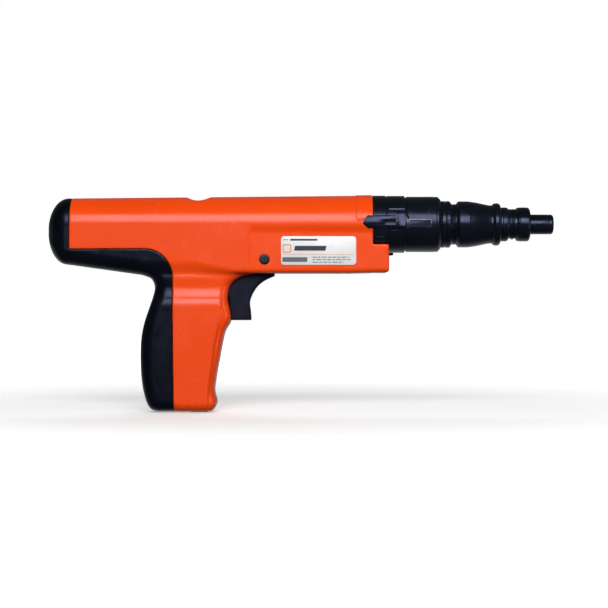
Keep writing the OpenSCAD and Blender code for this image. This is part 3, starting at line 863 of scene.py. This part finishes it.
def collar():
    """Front collar: stepped ring, ribs, window frame and the slot of the stop pawl."""
    x0, x1 = COLLAR_LO.x, COLLAR_HI.x
    ring = COLLAR_HI.z
    bore = RECEIVER_HI.z + 0.05
    end = RECEIVER_HI.x
    outer = [(x0, ring - 0.2), (x0 + 0.3, ring), (-119.9, ring), (-119.5, ring - 0.55),
             (-118.7, ring - 0.55), (-118.3, ring - 0.2), (-106.2, ring - 0.2), (-105.9, ring - 1.3),
             (-104.9, ring - 1.3), (-104.5, ring - 0.8), (-84.4, ring - 0.8), (-84.2, ring - 1.05),
             (-83.8, ring - 1.05), (-83.6, ring - 0.8), (-82.5, ring - 0.85), (x1, 17.6)]
    inner = [(x0, bore), (end, bore), (end, 17.0), (x1, 17.0)]
    ob = turned(outer, inner, 0.18, 192)
    for tool in (prism(grown(outward(ARROW), SLOT_GAP), -30, -SLOT_Y),
                 box_tool((-112.2, -104.6), (-30, -SLOT_Y), (-3.75, 7.9)),
                 box_tool(POCKET_X, (-30, -POCKET_FLOOR_Y), POCKET_Z),
                 box_tool((-119.2, -110.4), (-30, -ring + 1.1), (-5.3, -4.5)),
                 box_tool((-117.6, -106.6), (-30, -17.4), (9.4, 12.0))):
        boolean(ob, tool)
    for z in (-9.2, -12.4, -15.6):
        rib_y = 0.45 - math.sqrt(ring ** 2 - z * z)
        boolean(ob, box_tool((-127.4, -120.8), (-30, rib_y), (z - 0.55, z + 0.55)))
    shade(ob, 32)
    finish_piece(ob, "front_collar_ring", "housing", MATERIALS["black_steel"],
                 ["front_collar"])


def window():
    """Light steel rim round the collar's pocket, a painted highlight on its edges, and the plate in its
    floor, whose blue tone is painted reflection.
    """
    r = COLLAR_HI.z - 0.8
    (x0, x1), (z0, z1) = POCKET_X, POCKET_Z
    line, play, plate_t = 0.42, 0.05, 0.3
    shell = turned([(x0 - 2, r + 0.04), (x1 + 2, r + 0.04)],
                   [(x0 - 2, r - 0.5), (x1 + 2, r - 0.5)], 0, 360)
    opening = [(x0, z0), (x1, z0), (x1, z1), (x0, z1)]
    edge = prism(grown(outward(opening), line), -30, -5)
    boolean(edge, prism(opening, -31, -4))
    boolean(shell, edge, "INTERSECT")
    shade(shell, 35)
    # Painted highlight: this rim's light steel stands in for light caught on the pocket's edges.
    finish_piece(shell, "collar_window_painted_highlight", "housing", MATERIALS["gun_steel"])
    plate = prism(round_rect(x0 + play, x1 - play, z0 + play, z1 - play, 0.4), -POCKET_FLOOR_Y - plate_t,
                  -POCKET_FLOOR_Y)
    bevel(plate, 0.1)
    shade(plate, 30)
    finish_piece(plate, "collar_window_plate", "housing", painted_reflection_plate())


def nose():
    """Nose sleeve, its spring ring, the muzzle collar and the fastener guide, turned with soft edges."""
    flange = 16.4
    outer = [(-80, flange - 0.1), (-79.5, flange + 0.2), (-77.2, flange + 0.2), (-77.0, flange - 0.25),
             (-76.5, flange - 0.25), (-76.3, flange + 0.2), (-74.1, flange + 0.2), (-73.4, flange - 0.3),
             (-73.2, 15.4), (-71.9, 14.3), (-71.3, 14.3), (-71.3, 13.45), (-70.1, 13.45), (-70.1, 14.3),
             (-69.5, 14.3), (-68.2, 15.4), (-67.9, flange - 0.4),
             (-67.4, flange), (-60.6, flange)]
    outer += [tuple(p) for p in smooth_path([(-60.2, 16.3), (-56, 15.75), (-53.2, 15.2), (-50.4, 14.6),
                                             (-47.5, 13.95), (-44.9, 13.6)], steps=3)]
    outer += [(-43.6, 13.6)]
    outer += [(-42.9, 14.3), (-42.1, 14.9), (-41.2, 15.1), (-39.8, 15.1), (-38.9, 14.9), (-38.1, 14.2),
              (-37.6, 13.2)]
    ob = turned(outer, [(-80, 11.55), (-37.6, 11.55)], 0.22)
    for k in range(24):
        a = 2 * math.pi * (k + 0.5) / 24
        notch = cross_rod((0, 0), -0.45, 0.45, 1.15, 20)
        notch.data.transform(Matrix.Rotation(a, 4, "X") @ Matrix.Translation(
            Vector((-75.2, 0, flange + 0.95)) * MM))
        boolean(ob, notch)
    shade(ob, 30)
    finish_piece(ob, "nose_sleeve_turned", "barrel", MATERIALS["black_steel"],
                 ["nose_sleeve"])
    torus_ring("nose_spring_ring", "annular_spring", "black_steel")
    torus_ring("guide_retainer_ring", "guide_retainer", "black_steel")
    collar_outer = [(-36.9, 11.5), (-36.4, 12.1), (-33.4, 12.1), (-32.5, 11.7), (-31.8, 10.9),
                    (-29.6, 10.9), (-29.6, 9.9), (-28.4, 9.9), (-28.4, 10.9), (-26.4, 10.9),
                    (-25.6, 11.9), (-24.9, 12.1), (-24.7, 11.85), (-24.3, 11.85), (-24.1, 12.1),
                    (-18.4, 12.1), (-17.3, 11.5), (-16.8, 10.6)]
    ob = turned(collar_outer, [(-36.9, 4.35), (-30, 4.35), (-30, 6.74), (-16.8, 6.74)], 0.25)
    boolean(ob, box_tool((-32.2, -26), (-9, 9), (-14, -9.95)))
    shade(ob, 30)
    finish_piece(ob, "muzzle_collar_turned", "barrel", MATERIALS["black_steel"],
                 ["muzzle_collar"])
    guide_outer = [(-30, 6.74), (-16.6, 6.74), (-16.5, 7.04), (-3.6, 7.04), (-3.45, 6.85), (-3.1, 6.85),
                   (-2.95, 7.04), (-1.3, 7.04), (-0.35, 6.4), (0, 6.0)]
    ob = turned(guide_outer, [(-30, 4.1), (-0.5, 4.1), (0, 4.5)], 0.12)
    shade(ob, 30)
    finish_piece(ob, "fastener_guide_turned", "barrel", MATERIALS["black_steel"],
                 ["fastener_guide"])


def torus_ring(name, node, material):
    """Split wire ring about the bore, in the place of a CAD ring."""
    lo, hi = node_box(node)
    x, wire = (lo.x + hi.x) / 2, (hi.x - lo.x) / 2
    r = hi.z - wire
    profile = [(x + wire * math.cos(2 * math.pi * k / 20), r + wire * math.sin(2 * math.pi * k / 20))
               for k in range(20)]
    ob = lathe(profile, segments=128)
    split = 0.7
    boolean(ob, box_tool((x - 3, x + 3), (-split / 2, split / 2), (5, 30)))
    shade(ob, 45)
    finish_piece(ob, name, "barrel", MATERIALS[material], [node])


def stop_pawl():
    """Side pawl: an arrow-ended tab cut from the collar's own curve, with its pivot block and tooth."""
    ring = COLLAR_HI.z
    tab = prism(eased(ARROW[1:5] + [(-105.2, -3.4), (-105.2, 5.1)], 0.8), -21, -17.3)
    pivot = box_tool((-111.8, -105.2), (-21, -16.95), (-3.3, 7.5))
    boolean(tab, pivot, "UNION")
    for tool in (box_tool((-121.4, -113.0), (-30, -ring + 1.5), (-1.2, 2.9)),
                 box_tool((-110.9, -106.3), (-30, -ring + 0.55), (-1.6, 5.4))):
        boolean(tab, tool)
    boolean(tab, rod(-140, -100, ring - 0.02, 192), "INTERSECT")
    bevel(tab, 0.28, 2, 35)
    boolean(tab, box_tool((-129.5, -125.5), (-17.4, -8.8), (-2, 4)), "UNION")
    shade(tab, 32)
    finish_piece(tab, "stop_pawl_tab", "stop_pawl", MATERIALS["black_steel"],
                 ["stop_pawl"])


# ---- Springs, pins and the CAD nodes that show as they are ----

def coil_spring(node, turns, wire):
    """Round-wire spring along X with closed end turns."""
    lo, hi = node_box(node)
    length = hi.x - lo.x
    r = (hi.y - lo.y) / 2 - wire
    centre_y, centre_z = (lo.y + hi.y) / 2, (lo.z + hi.z) / 2
    closed = 0.9
    closed_rise = closed * 2.06 * wire
    per_turn, around = 30, 12
    verts = []
    for k in range(turns * per_turn + 1):
        t = k / per_turn
        rise = float(np.interp(t, [0, closed, turns - closed, turns],
                               [0, closed_rise, length - 2 * wire - closed_rise, length - 2 * wire]))
        a = 2 * math.pi * t
        for j in range(around):
            b = 2 * math.pi * j / around
            reach = r + wire * math.cos(b)
            verts.append((lo.x + wire + rise + wire * math.sin(b), centre_y + reach * math.cos(a),
                          centre_z + reach * math.sin(a)))
    last = turns * per_turn * around
    faces = [list(range(around)), list(range(last, last + around))]
    for base in range(0, last, around):
        for j in range(around):
            on = (j + 1) % around
            faces.append([base + j, base + on, base + around + on, base + around + j])
    ob = mesh_piece(node, verts, faces)
    tidy_normals(ob)
    shade(ob, 50)
    finish_piece(ob, f"{node}_wound", "housing", MATERIALS["bright_steel"], [node])
    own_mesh(ob)


def springs():
    coil_spring("cocking_spring", 9, 0.6)
    coil_spring("main_spring", 7, 0.9)
    coil_spring("trigger_spring", 8, 0.45)


def pin(node, slot):
    """Round pin with chamfered ends, along the longest side of its CAD node."""
    lo, hi = node_box(node)
    size = hi - lo
    upright = size.z > size.y
    half, r = max(size) / 2, size.x / 2
    chamfer = 0.22 * r
    ob = lathe([(-half, 0.0001), (-half, r - chamfer), (-half + chamfer, r), (half - chamfer, r),
                (half, r - chamfer), (half, 0.0001)], segments=48, axis="y")
    if upright:
        ob.data.transform(Matrix.Rotation(math.pi / 2, 4, "X"))
    ob.data.transform(Matrix.Translation((lo + hi) / 2 * MM))
    shade(ob, 30)
    finish_piece(ob, f"{node}_chamfered", "housing", MATERIALS[slot], [node])


def pins():
    pin("sear_pin", "bright_steel")
    pin("lever_pin", "bright_steel")
    pin("pawl_pin", "black_steel")


def carried_over():
    """Gives each CAD node that shows as it is the finish of its record slot."""
    slots = {part["node"]: part["material_slot"] for part in frame["record"]["subparts"]}
    for name, ob in frame["nodes"].items():
        if ob.hide_render:
            continue
        ob.data.materials.clear()
        ob.data.materials.append(MATERIALS[slots[name]])


for make in (housing, backstrap, trigger, screws, label, collar, window, nose, stop_pawl, springs,
             pins, carried_over):
    make()


# ---- Floor, light and camera ----
FLOOR_R = 6.0
CAMERA_LENS = 100
CAMERA_AIM = Vector((-177.5, 0, -56.8)) * MM
CAMERA_FAR = 1.206


def floor():
    """Pale studio floor, a wide flat disc."""
    bm = bmesh.new()
    rings = []
    sides = 96
    for r in (0.4, 1.2, 2.6, FLOOR_R):
        turns = [2 * math.pi * k / sides for k in range(sides)]
        rings.append([bm.verts.new((r * math.cos(t), r * math.sin(t), 0)) for t in turns])
    bm.faces.new(rings[0])
    for a, b in zip(rings, rings[1:]):
        for k in range(sides):
            bm.faces.new((a[k], b[k], b[(k + 1) % sides], a[(k + 1) % sides]))
    me = bpy.data.meshes.new("floor")
    bm.to_mesh(me)
    bm.free()
    ob = bpy.data.objects.new("floor", me)
    bpy.context.scene.collection.objects.link(ob)
    ob.location = (CAMERA_AIM.x, 0, (BASE_Z - 0.02) * MM)
    s = Shader("floor_white", (0.93, 0.94, 0.94), 0.75, specular=0.15)
    s.color(s.colors(s.noise(3, 3), [(0.3, (0.92, 0.93, 0.93)), (0.7, (0.94, 0.95, 0.95))]))
    s.set(s.bsdf, "Emission Color", (1, 1, 1, 1))
    span = s.tree.nodes.new("ShaderNodeVectorMath")
    span.operation = "LENGTH"
    s.link(s.place, span.inputs[0])
    s.link(s.remap(span.outputs["Value"], 0.2, 1.1, 0.30, 0.95), s.bsdf.inputs["Emission Strength"])
    me.materials.append(s.material)
    ob.visible_glossy = ob.visible_diffuse = False


def area_light(name, azimuth, elevation, distance, size, power, mirrored_in_gloss=True):
    """Soft box aimed at the tool; azimuth 0 is the camera's side."""
    data = bpy.data.lights.new(name, "AREA")
    data.shape = "RECTANGLE"
    data.size, data.size_y = size
    data.energy = power
    ob = bpy.data.objects.new(name, data)
    bpy.context.scene.collection.objects.link(ob)
    ob.visible_glossy = mirrored_in_gloss
    a, e = math.radians(azimuth), math.radians(elevation)
    way = Vector((math.sin(a) * math.cos(e), -math.cos(a) * math.cos(e), math.sin(e)))
    ob.location = Vector((CAMERA_AIM.x, 0, -0.01)) + way * distance
    ob.rotation_euler = (-way).to_track_quat("-Z", "Y").to_euler()


def studio():
    area_light("front_strip", 0, 25, 1.5, (1.0, 0.78), 18)
    area_light("front_fill", 0, 12, 2.4, (3.0, 2.2), 17, False)
    area_light("side_strip", 62, 8, 1.6, (0.35, 1.4), 4.5)
    area_light("back_soft", 180, 40, 2.2, (2.6, 1.6), 24, False)
    world = bpy.data.worlds.new("studio")
    world.use_nodes = True
    tree = world.node_tree
    back = tree.nodes["Background"]
    back.inputs["Color"].default_value = (1, 1, 1, 1)
    way = tree.nodes.new("ShaderNodeSeparateXYZ")
    tree.links.new(tree.nodes.new("ShaderNodeTexCoord").outputs["Generated"], way.inputs["Vector"])

    def mapped(source, *span):
        node = tree.nodes.new("ShaderNodeMapRange")
        for key, value in zip(("From Min", "From Max", "To Min", "To Max"), span):
            if isinstance(value, float):
                node.inputs[key].default_value = value
            else:
                tree.links.new(value, node.inputs[key])
        tree.links.new(source, node.inputs["Value"])
        return node.outputs["Result"]

    above = mapped(way.outputs["Y"], 0.0, 0.8, 0.02, 0.10)
    below = mapped(way.outputs["Y"], 0.1, 0.8, 0.06, 0.60)
    room = mapped(way.outputs["Z"], -0.15, 0.05, below, above)
    camera_ray = tree.nodes.new("ShaderNodeLightPath").outputs["Is Camera Ray"]
    tree.links.new(mapped(camera_ray, 0.0, 1.0, room, 1.0), back.inputs["Strength"])
    bpy.context.scene.world = world
    bpy.context.scene.view_settings.view_transform = "Standard"


def camera():
    data = bpy.data.cameras.new("camera")
    data.lens, data.sensor_width = CAMERA_LENS, 36
    data.clip_start, data.clip_end = 0.05, 20
    ob = bpy.data.objects.new("camera", data)
    bpy.context.scene.collection.objects.link(ob)
    ob.location = CAMERA_AIM + Vector((0, -CAMERA_FAR, 0))
    ob.rotation_euler = (math.radians(90), 0, 0)
    bpy.context.scene.camera = ob


floor()
studio()
camera()
